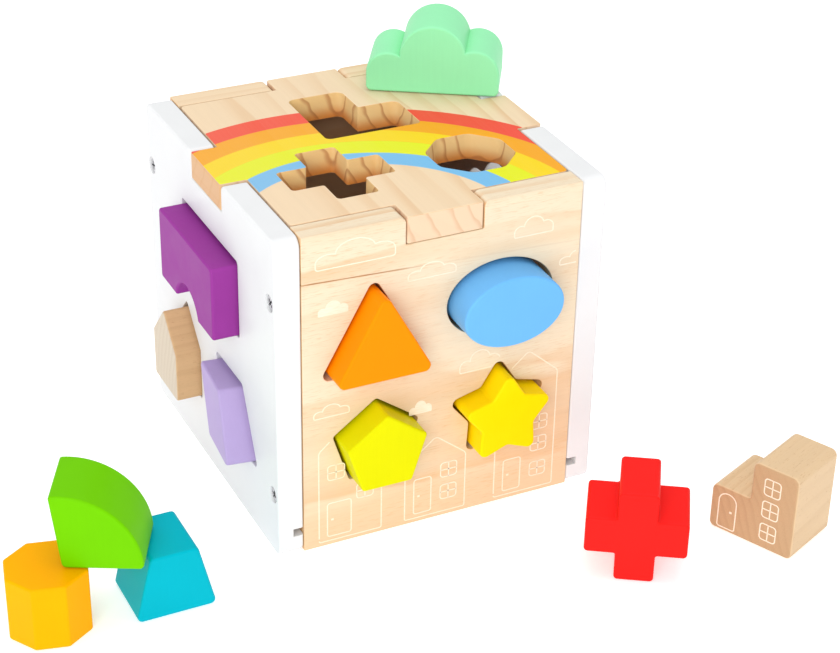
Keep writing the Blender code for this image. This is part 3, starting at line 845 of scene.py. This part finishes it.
def make_steel():
    """Zinc-plated screw with fine turning marks."""
    material, tree, shader = new_material("screw_steel")
    _, place = millimetres(tree)
    cloudy = noise(tree, place, (0.8, 0.8, 0.8), 3.0)
    fine = noise(tree, place, (6.0, 6.0, 6.0), 3.0)
    tone = ramp(tree, cloudy, 0.3, 0.7, 0.42, 0.6)
    bluer = times(tree, tone, 1.03)
    colour = node(tree, "ShaderNodeCombineColor", {0: tone, 1: tone, 2: bluer})
    feed(tree, shader, "Base Color", colour.outputs[0])
    feed(tree, shader, "Roughness", ramp(tree, fine, 0.3, 0.7, 0.28, 0.45))
    shader.inputs["Metallic"].default_value = 1.0
    return material


def make_print():
    """Thin screen-printed white, a little broken by the grain below it."""
    material, tree, shader = new_material("white_print")
    _, place = millimetres(tree)
    worn = noise(tree, place, (0.3, 2.5, 2.5), 3.0)
    thin = ramp(tree, worn, 0.35, 0.8, 0.0, 0.6)
    colour = blend(tree, thin, srgb(242, 230, 208), srgb(232, 210, 176))
    feed(tree, shader, "Base Color", colour)
    feed(tree, shader, "Roughness", ramp(tree, worn, 0.3, 0.7, 0.5, 0.62))
    return material


# ---- boards
CROSS_AT = (-25.0, -24.0)
TALL_HOUSE_AT = (4.8, 6.6)
OCTAGON_AT = (31.1, -28.9)
TRIANGLE_AT = (-29.4, 90.1)
OVAL_AT = (24.7, 97.1)
PENTAGON_AT = (-28.3, 44.4)
STAR_AT = (25.4, 46.1)
BRIDGE_AT = (1.6, 81.3)
GABLE_AT = (-28.5, 27.5)
RHOMBUS_AT = (26.2, 44.4)
CLOUD_AT = (-0.7, 85.7)
QUARTER_AT = (-48.0, 29.0)
TRAPEZOID_AT = (24.0, 29.0)
OVAL_PLAY = 1.5
RHOMBUS_PLAY = 1.5
DROP = 0.7              # how far a block has sunk in its hole
OVER = 0.35             # how far the front panel's blocks lie towards the right
OVAL_LEAN = 1.4         # degrees
RHOMBUS_LEAN = -1.5
RHOMBUS_SWING = -5.0
LID_CROSS_ARM, LID_CROSS_END = 8.6, 21.8
LID_HOUSE_PLAY = 1.8
LID_OCTAGON_PLAY, LID_OCTAGON_CORNER = 1.4, 5.0
SCREW_HEIGHTS = (27.0, 112.7)
SCREW_HEAD = 3.25
SCREW_SHANK = 1.6
SCREW_LENGTH = 25.0
SCREW_SINK = 0.5
SCREW_ROOM = 0.3
SCREW_SIDES = 40
RECESS_ARM, RECESS_HALF_WIDTH, RECESS_DEPTH = 1.9, 0.45, 1.6
GROOVE_LOW, GROOVE_HIGH = 8.2, 11.8
GROOVE_DEPTH = 4.3


def add_groove(tool, matrix):
    """Slot for the base plate across a board's inner face."""
    outline = box_outline(-HALF - 2, HALF + 2, GROOVE_LOW, GROOVE_HIGH)
    add_plain_prism(tool, outline, INNER - 2, INNER + GROOVE_DEPTH, matrix)


def screw_frame(side, y_sign, height):
    matrix = (RIGHT if side > 0 else LEFT).copy()
    matrix.translation = Vector((side * (HALF - SCREW_SINK), y_sign * (HALF - WALL / 2), height))
    return matrix


def add_screw_room(tool, side, y_sign):
    """Countersunk bores for one column of screws."""
    wide = SCREW_SHANK + SCREW_ROOM
    profile = [(0, -SCREW_LENGTH - 1), (wide, -SCREW_LENGTH - 1), (wide, SCREW_SHANK - SCREW_HEAD - 0.9)]
    profile += [(SCREW_HEAD + SCREW_ROOM, -0.6), (SCREW_HEAD + SCREW_ROOM + 0.15, 2.0), (0, 2.0)]
    for height in SCREW_HEIGHTS:
        add_lathe(tool, profile, screw_frame(side, y_sign, height), SCREW_SIDES)


def make_board(name, outline, holes, matrix, rims, screw_columns, material, slot, node_name):
    """One of the cube's four upright boards, with its groove and screw bores."""
    board = slab(name, outline, holes, matrix, INNER, HALF, *rims)
    tool = bmesh.new()
    add_groove(tool, matrix)
    for side, y_sign in screw_columns:
        add_screw_room(tool, side, y_sign)
    subtract(board, tool, name + "_tool")
    even_normals(board)
    dress(board, material, "cube", slot, node_name)


def front_holes(margin=0.0):
    play = PLAY + margin
    holes = [moved(triangle(play), *TRIANGLE_AT), moved(oval(OVAL_PLAY + margin), *OVAL_AT)]
    return holes + [moved(pentagon(play), *PENTAGON_AT), moved(star(play), *STAR_AT)]


def make_cross_boards():
    outline = panel_outline(INNER - JOINT_GAP, CROSS_BOARD_CORNER, CROSS_BOARD_CORNER)
    rims = (BOARD_EDGE, HOLE_EDGE)
    columns = ((-1, -1), (1, -1))
    pine = make_front_pine()
    make_board("front_board", outline, front_holes(), FRONT, rims, columns, pine, "pine", "front_panel")
    columns = ((-1, 1), (1, 1))
    pine = make_back_pine()
    make_board("back_board", outline, [], BACK, rims, columns, pine, "pine", "back_panel")


def make_side_boards():
    # the last argument adds brown painted shade on the faces inside the box
    white = painted("white_lacquer", (226, 227, 228), 0.34, "Y", 0.012, 0.1, 0.03, True)
    outline = panel_outline(HALF, PANEL_FOOT_CORNER, PANEL_TOP_CORNER)
    rims = (PAINTED_EDGE, PAINTED_HOLE_EDGE)
    left = [moved(bridge(PLAY), *BRIDGE_AT), moved(gable(PLAY), *GABLE_AT)]
    left.append(moved(rhombus(RHOMBUS_PLAY), *RHOMBUS_AT))
    columns = ((-1, -1), (-1, 1))
    make_board("left_board", outline, left, LEFT, rims, columns, white, "white_paint", "left_panel")
    right = [moved(cloud(PLAY), *CLOUD_AT), moved(quarter(PLAY), *QUARTER_AT)]
    right.append(moved(trapezoid(PLAY), *TRAPEZOID_AT))
    columns = ((1, -1), (1, 1))
    make_board("right_board", outline, right, RIGHT, rims, columns, white, "white_paint", "right_panel")


def make_lid():
    holes = [moved(cross(LID_CROSS_ARM, LID_CROSS_END), *CROSS_AT),
             moved(mirrored(tall_house(LID_HOUSE_PLAY)), *TALL_HOUSE_AT),
             moved(octagon(LID_OCTAGON_PLAY, LID_OCTAGON_CORNER), *OCTAGON_AT)]
    lid = slab("lid_board", lid_outline(), holes, TOP, SIDE - LID, SIDE, BOARD_EDGE, LID_HOLE_EDGE)
    even_normals(lid)
    dress(lid, make_lid_pine(), "lid", "pine", "lid")


def make_screws():
    steel = make_steel()
    cone = SCREW_HEAD - SCREW_SHANK
    profile = [(0, -SCREW_LENGTH), (0.5, -SCREW_LENGTH), (SCREW_SHANK, -SCREW_LENGTH + 4)]
    profile += [(SCREW_SHANK, -cone - 0.6), (SCREW_HEAD - 0.1, -0.7), (SCREW_HEAD, -0.5)]
    profile += [(SCREW_HEAD - 0.06, -0.2), (SCREW_HEAD - 0.3, -0.06), (SCREW_HEAD - 0.8, 0.0), (0, 0.0)]
    arm, width = RECESS_ARM, RECESS_HALF_WIDTH
    points = [(width, -arm), (width, -width), (arm, -width), (arm, width), (width, width), (width, arm)]
    points += [(-x, -y) for x, y in points]
    for side, side_name in ((-1, "left"), (1, "right")):
        for y_sign, end_name in ((-1, "front"), (1, "back")):
            for height, level in zip(SCREW_HEIGHTS, ("low", "high")):
                turn = Matrix.Rotation(0.5 + 1.3 * y_sign + 0.9 * side + height * 0.05, 4, "Z")
                matrix = screw_frame(side, y_sign, height) @ turn
                mesh = bmesh.new()
                add_lathe(mesh, profile, matrix, SCREW_SIDES)
                name = "%s_%s_%s" % (side_name, end_name, level)
                screw = as_object("screw_look_" + name, mesh)
                recess = bmesh.new()
                add_plain_prism(recess, points, -RECESS_DEPTH, 1.0, matrix)
                subtract(screw, recess, "recess_" + name)
                dress(screw, steel, "cube", "screw_steel", "screw_" + name)


def make_base_plate():
    plate = frame["nodes"]["base_plate"]
    plate.data.materials.clear()
    plate.data.materials.append(make_plywood())


# ---- blocks
def make_block(name, outline, matrix, material, slot, depth=DEPTH):
    block = slab(name + "_look", outline, [], matrix, -depth, 0, BLOCK_EDGE)
    even_normals(block)
    dress(block, material, name, slot, name)


def painted_block(name, outline, matrix, colour_name, tone):
    paint = colour_name + "_paint"
    make_block(name, outline, matrix, painted(paint, tone), paint)


def in_hole(matrix, across, height, out, turn_up=0.0, turn_side=0.0):
    """Place a block in an upright panel's hole, standing out by the given amount."""
    pivot = Matrix.Translation(Vector((across, height, HALF - WALL / 2)))
    lean = Matrix.Rotation(math.radians(turn_up), 4, "X")
    swing = Matrix.Rotation(math.radians(turn_side), 4, "Y")
    push = Matrix.Translation(Vector((0, 0, WALL / 2 + out)))
    return matrix @ pivot @ swing @ lean @ push


def on_floor(x, y, z, turn):
    """Stand a block upright with the lower left corner of its front face at x, y, z."""
    spin = Matrix.Rotation(math.radians(turn), 4, "Z")
    return Matrix.Translation(Vector((x, y, z))) @ spin @ FRONT


INSERTED = (
    # block, panel, hole, shift across and up in it, how far out, colour
    ("triangle", triangle, FRONT, TRIANGLE_AT, (OVER, -OVER / 2), 10.5, "orange", (255, 140, 2)),
    ("oval", oval, FRONT, OVAL_AT, (OVER, -DROP), 12.2, "blue", (107, 178, 238)),
    ("pentagon", pentagon, FRONT, PENTAGON_AT, (OVER, -DROP), 11.0, "lime", (218, 218, 2)),
    ("star", star, FRONT, STAR_AT, (OVER, -DROP), 9.5, "yellow", (255, 218, 4)),
    ("bridge", bridge, LEFT, BRIDGE_AT, (0.0, -DROP), 10.5, "purple", (148, 57, 147)),
    ("gable", gable, LEFT, GABLE_AT, (0.0, -DROP), 10.7, "beech", None),
    ("rhombus", rhombus, LEFT, RHOMBUS_AT, (0.0, -DROP), 9.3, "lilac", (182, 162, 210)),
)
TILTS = {"oval": (OVAL_LEAN, 0.0), "rhombus": (RHOMBUS_LEAN, RHOMBUS_SWING)}


def make_inserted_blocks():
    for kind, outline, panel, hole, shift, out, colour_name, tone in INSERTED:
        place = in_hole(panel, hole[0] + shift[0], hole[1] + shift[1], out, *TILTS.get(kind, ()))
        if tone:
            painted_block(kind + "_block", outline(), place, colour_name, tone)
        else:
            wood = make_beech("beech_gable", 0.0, "X", 11.0, **GABLE_TONES)
            make_block(kind + "_block", outline(), place, wood, colour_name)


TALL_HOUSE_TURN = -65.7
TALL_HOUSE_PLACE = on_floor(98.0, -120.6, 0, TALL_HOUSE_TURN)


def make_loose_blocks():
    outline = moved(cross(), CROSS_END, CROSS_END)
    painted_block("cross_block", outline, on_floor(33.0, -130.4, 0, -32.4), "red", (241, 34, 30))
    outline = moved(tall_house(), HOUSE_WIDTH / 2, 0)
    wood = make_beech("beech_house", math.radians(TALL_HOUSE_TURN), "Y", 3.0)
    make_block("tall_house_block", outline, TALL_HOUSE_PLACE, wood, "beech", HOUSE_DEPTH)
    outline = moved(trapezoid(), TRAPEZOID_FOOT, 0)
    place = on_floor(-134.85, -87.15, 0, 0.25)
    painted_block("trapezoid_block", outline, place, "turquoise", (0, 174, 192))
    spin = Matrix.Rotation(math.radians(-13.1), 4, "Z")
    place = Matrix.Translation(Vector((-164.5, -73.45, DEPTH))) @ spin
    painted_block("octagon_block", octagon(), place, "amber", (255, 171, 0))
    place = on_floor(-159.75, -78.65, DEPTH + REST_GAP, -26.6)
    painted_block("quarter_block", quarter(), place, "green", (108, 196, 1))
    place = on_floor(42.2, 28.3, SIDE + REST_GAP, -31.1)
    painted_block("cloud_block", cloud(), place, "mint", (150, 232, 176))


# ---- prints
PRINT_BELOW, PRINT_PROUD = 0.15, 0.05
PRINT_LINE = 0.5


def is_inside(point, polygon):
    inside = False
    for (x0, y0), (x1, y1) in zip(polygon, polygon[1:] + polygon[:1]):
        if (y0 > point[1]) != (y1 > point[1]) and point[0] < x0 + (point[1] - y0) * (x1 - x0) / (y1 - y0):
            inside = not inside
    return inside


UNPRINTED_RIM = 1.0
FRONT_HOLES = front_holes(UNPRINTED_RIM)


def on_front(point):
    """True where the front panel has a printable face."""
    return abs(point[0]) < INNER - 1.4 and not any(is_inside(point, hole) for hole in FRONT_HOLES)


def anywhere(point):
    return True


def add_ribbon(mesh, points, width, matrix, level, closed):
    """Thin flat line through the points, just proud of the surface at level."""
    count = len(points)
    rings = []
    for i in range(count):
        here = Vector(points[i])
        before = Vector(points[i - 1]) if closed or i > 0 else here
        after = Vector(points[(i + 1) % count]) if closed or i < count - 1 else here
        first = (here - before if i > 0 or closed else after - here).normalized()
        second = (after - here if i < count - 1 or closed else here - before).normalized()
        normal_a, normal_b = Vector((-first.y, first.x)), Vector((-second.y, second.x))
        reach = (normal_a + normal_b) * (width / 2 / max(0.35, 1.0 + normal_a.dot(normal_b)))
        left, right = here + reach, here - reach
        corners = [(left, -PRINT_BELOW), (right, -PRINT_BELOW), (right, PRINT_PROUD), (left, PRINT_PROUD)]
        rings.append([mesh.verts.new(world(matrix, (p.x, p.y, level + h))) for p, h in corners])
    spans = list(zip(rings, rings[1:])) + ([(rings[-1], rings[0])] if closed else [])
    for ring, following in spans:
        for i, j in around(4):
            mesh.faces.new((ring[i], following[i], following[j], ring[j]))
    if not closed:
        mesh.faces.new(rings[0])
        mesh.faces.new(list(reversed(rings[-1])))


def add_stroke(mesh, points, matrix, level, closed=False, width=PRINT_LINE, keep=anywhere):
    """Draw a line wherever the face can be printed."""
    if closed:
        points = points + points[:1]
    if all(keep(point) for point in points):
        add_ribbon(mesh, points[:-1] if closed else points, width, matrix, level, closed)
        return
    run = []
    for start, end in zip(points, points[1:]):
        length = (Vector(end) - Vector(start)).length
        steps = max(1, round(length))
        for k in range(steps):
            point = (start[0] + (end[0] - start[0]) * k / steps, start[1] + (end[1] - start[1]) * k / steps)
            if keep(point):
                run.append(point)
                continue
            if len(run) > 1:
                add_ribbon(mesh, run, width, matrix, level, False)
            run = []
    if len(run) > 1:
        add_ribbon(mesh, run, width, matrix, level, False)


def add_patch(mesh, points, matrix, level):
    """Printed solid shape."""
    add_plain_prism(mesh, points, level - PRINT_BELOW, level + PRINT_PROUD, matrix)


def fitted_cloud(x0, x1, z0, z1):
    """The cloud outline squeezed into a box."""
    points = cloud()
    xs, zs = [p[0] for p in points], [p[1] for p in points]
    wide = (x1 - x0) / (max(xs) - min(xs))
    high = (z1 - z0) / (max(zs) - min(zs))
    fitted = [(x0 + (x - min(xs)) * wide, z0 + (z - min(zs)) * high) for x, z in points]
    return fitted[::2]


def add_window(mesh, x, z, width, height, matrix, level):
    """Window with four panes; x, z is its lower left corner."""
    left, right, low, high = x, x + width, z, z + height
    add_stroke(mesh, rounded(box_outline(left, right, low, high), 1.3, 4), matrix, level, True)
    middle, centre = (left + right) / 2, (low + high) / 2
    add_stroke(mesh, [(middle, low), (middle, high)], matrix, level)
    add_stroke(mesh, [(left, centre), (middle, centre)], matrix, level)
    add_stroke(mesh, [(middle, centre), (right, centre)], matrix, level)


def add_door(mesh, left, right, low, high, matrix, level, arched=False):
    corner = (right - left) / 2 - 0.1 if arched else 1.2
    outline = rounded(box_outline(left, right, low, high), [1.0, 1.0, corner, corner], 8)
    add_stroke(mesh, outline, matrix, level, True)
    middle = (low + high) / 2
    knob = right - 2.9 if arched else left + 1.6
    add_stroke(mesh, [(knob, middle), (knob + 1.1, middle)], matrix, level, False, 0.9)


TOWN = (
    # left wall, right wall, eaves, peak, door (left, right, high), windows (x, z)
    (-52.8, -25.7, 44.6, 56.5, (-49.2, -38.9, 19.8), ((-49.0, 30.7), (-36.5, 18.9))),
    (-15.3, 11.7, 28.1, 39.0, (-11.3, -3.6, 20.6), ((0.6, 8.0), (0.6, 18.6))),
    (25.2, 52.4, 57.1, 69.0, (29.3, 37.2, 19.0), ((41.7, 7.9), (41.6, 20.2), (41.6, 30.6))),
)
LINE_CLOUDS = ((-53.6, -20.9, 125.1, 135.6), (-15.4, 4.9, 112.5, 118.8), (-54.7, -39.8, 60.4, 65.8),
               (7.9, 25.7, 65.8, 74.7), (29.8, 46.7, 121.4, 129.3), (50.6, 68.5, 105.2, 110.7))
WHITE_CLOUDS = ((-52.7, -40.2, 105.3, 111.3), (-14.0, -4.1, 51.8, 57.7))


def make_front_print(material):
    mesh = bmesh.new()
    for left, right, eaves, peak, door, windows in TOWN:
        middle = (left + right) / 2
        walls = [(left, 2.0), (right, 2.0), (right, eaves), (middle, peak), (left, eaves)]
        outline = rounded(walls, [0.8, 0.8, 2.5, 2.0, 2.5], 5)
        add_stroke(mesh, outline, FRONT, HALF, True, PRINT_LINE, on_front)
        add_door(mesh, door[0], door[1], 4.0, door[2], FRONT, HALF)
        for x, z in windows:
            add_window(mesh, x, z, 7.2, 6.8, FRONT, HALF)
    for x0, x1, z0, z1 in LINE_CLOUDS:
        add_stroke(mesh, fitted_cloud(x0, x1, z0, z1), FRONT, HALF, True, PRINT_LINE, on_front)
    for x0, x1, z0, z1 in WHITE_CLOUDS:
        add_patch(mesh, fitted_cloud(x0, x1, z0, z1), FRONT, HALF)
    dress(as_object("front_print", mesh), material, "cube", "pine")


def make_block_print(material):
    mesh = bmesh.new()
    add_door(mesh, 3.8, 11.9, 1.7, 18.1, TALL_HOUSE_PLACE, 0.0, True)
    for z in (4.3, 15.0, 25.5):
        add_window(mesh, 23.5, z, 7.2, 7.6, TALL_HOUSE_PLACE, 0.0)
    dress(as_object("house_print", mesh), material, "tall_house_block", "beech")


# ---- stage, light and camera
FLOOR_REACH = 6.0                       # metres
LIGHT_TARGET = Vector((0.0, 0.0, 0.05))  # metres
CAMERA_LENS = 89.3545
CAMERA_AZIMUTH, CAMERA_ELEVATION, CAMERA_ROLL = -26.2971, 29.9028, 1.1674
CAMERA_FROM_CUBE = (-318.248, -693.774, 491.718)


def make_floor():
    data = bpy.data.meshes.new("floor")
    corners = [(x, y, 0) for x, y in box_outline(-FLOOR_REACH, FLOOR_REACH, -FLOOR_REACH, FLOOR_REACH)]
    data.from_pydata(corners, [], [(0, 1, 2, 3)])
    floor = bpy.data.objects.new("floor", data)
    link(floor)
    material, tree, shader = new_material("floor_white")
    set_values(shader, {"Base Color": (0.82, 0.82, 0.825, 1.0), "Roughness": 0.7, "Specular IOR Level": 0.2,
                        "Emission Color": (1.0, 1.0, 1.0, 1.0), "Emission Strength": 0.45})
    data.materials.append(material)


def add_area_light(name, place, size, power):
    """Square light aimed at the middle of the set; place and size in metres, power in watts."""
    data = bpy.data.lights.new(name, "AREA")
    data.shape = "SQUARE"
    data.size = size
    data.energy = power
    light = bpy.data.objects.new(name, data)
    light.location = place
    aim = LIGHT_TARGET - Vector(place)
    light.rotation_euler = aim.to_track_quat("-Z", "Y").to_euler()
    link(light)


def make_light():
    world_light = bpy.data.worlds.new("studio")
    bpy.context.scene.world = world_light
    world_light.use_nodes = True
    background = world_light.node_tree.nodes["Background"]
    background.inputs["Color"].default_value = (1.0, 1.0, 1.0, 1.0)
    background.inputs["Strength"].default_value = 0.75
    add_area_light("key", (-0.95, -1.25, 0.8), 1.0, 14.0)
    add_area_light("top", (0.2, 0.3, 1.7), 1.2, 8.0)


def make_camera():
    data = bpy.data.cameras.new("camera")
    data.sensor_fit = "HORIZONTAL"
    data.sensor_width = 36.0
    data.lens = CAMERA_LENS
    data.clip_start = 0.01
    camera = bpy.data.objects.new("camera", data)
    azimuth, elevation = math.radians(CAMERA_AZIMUTH), math.radians(CAMERA_ELEVATION)
    roll = math.radians(CAMERA_ROLL)
    back = Vector((math.sin(azimuth) * math.cos(elevation), -math.cos(azimuth) * math.cos(elevation),
                   math.sin(elevation)))
    right = (-back).cross(Vector((0, 0, 1))).normalized()
    up = right.cross(-back)
    cos, sin = math.cos(roll), math.sin(roll)
    matrix = Matrix((right * cos + up * sin, up * cos - right * sin, back)).transposed().to_4x4()
    matrix.translation = (CUBE_AT + Vector(CAMERA_FROM_CUBE)) * MM
    camera.matrix_world = matrix
    link(camera)
    bpy.context.scene.camera = camera


make_cross_boards()
make_side_boards()
make_lid()
make_screws()
make_base_plate()
make_inserted_blocks()
make_loose_blocks()
white_print = make_print()
make_front_print(white_print)
make_block_print(white_print)
make_floor()
make_light()
make_camera()
bpy.context.scene.view_settings.view_transform = "Standard"
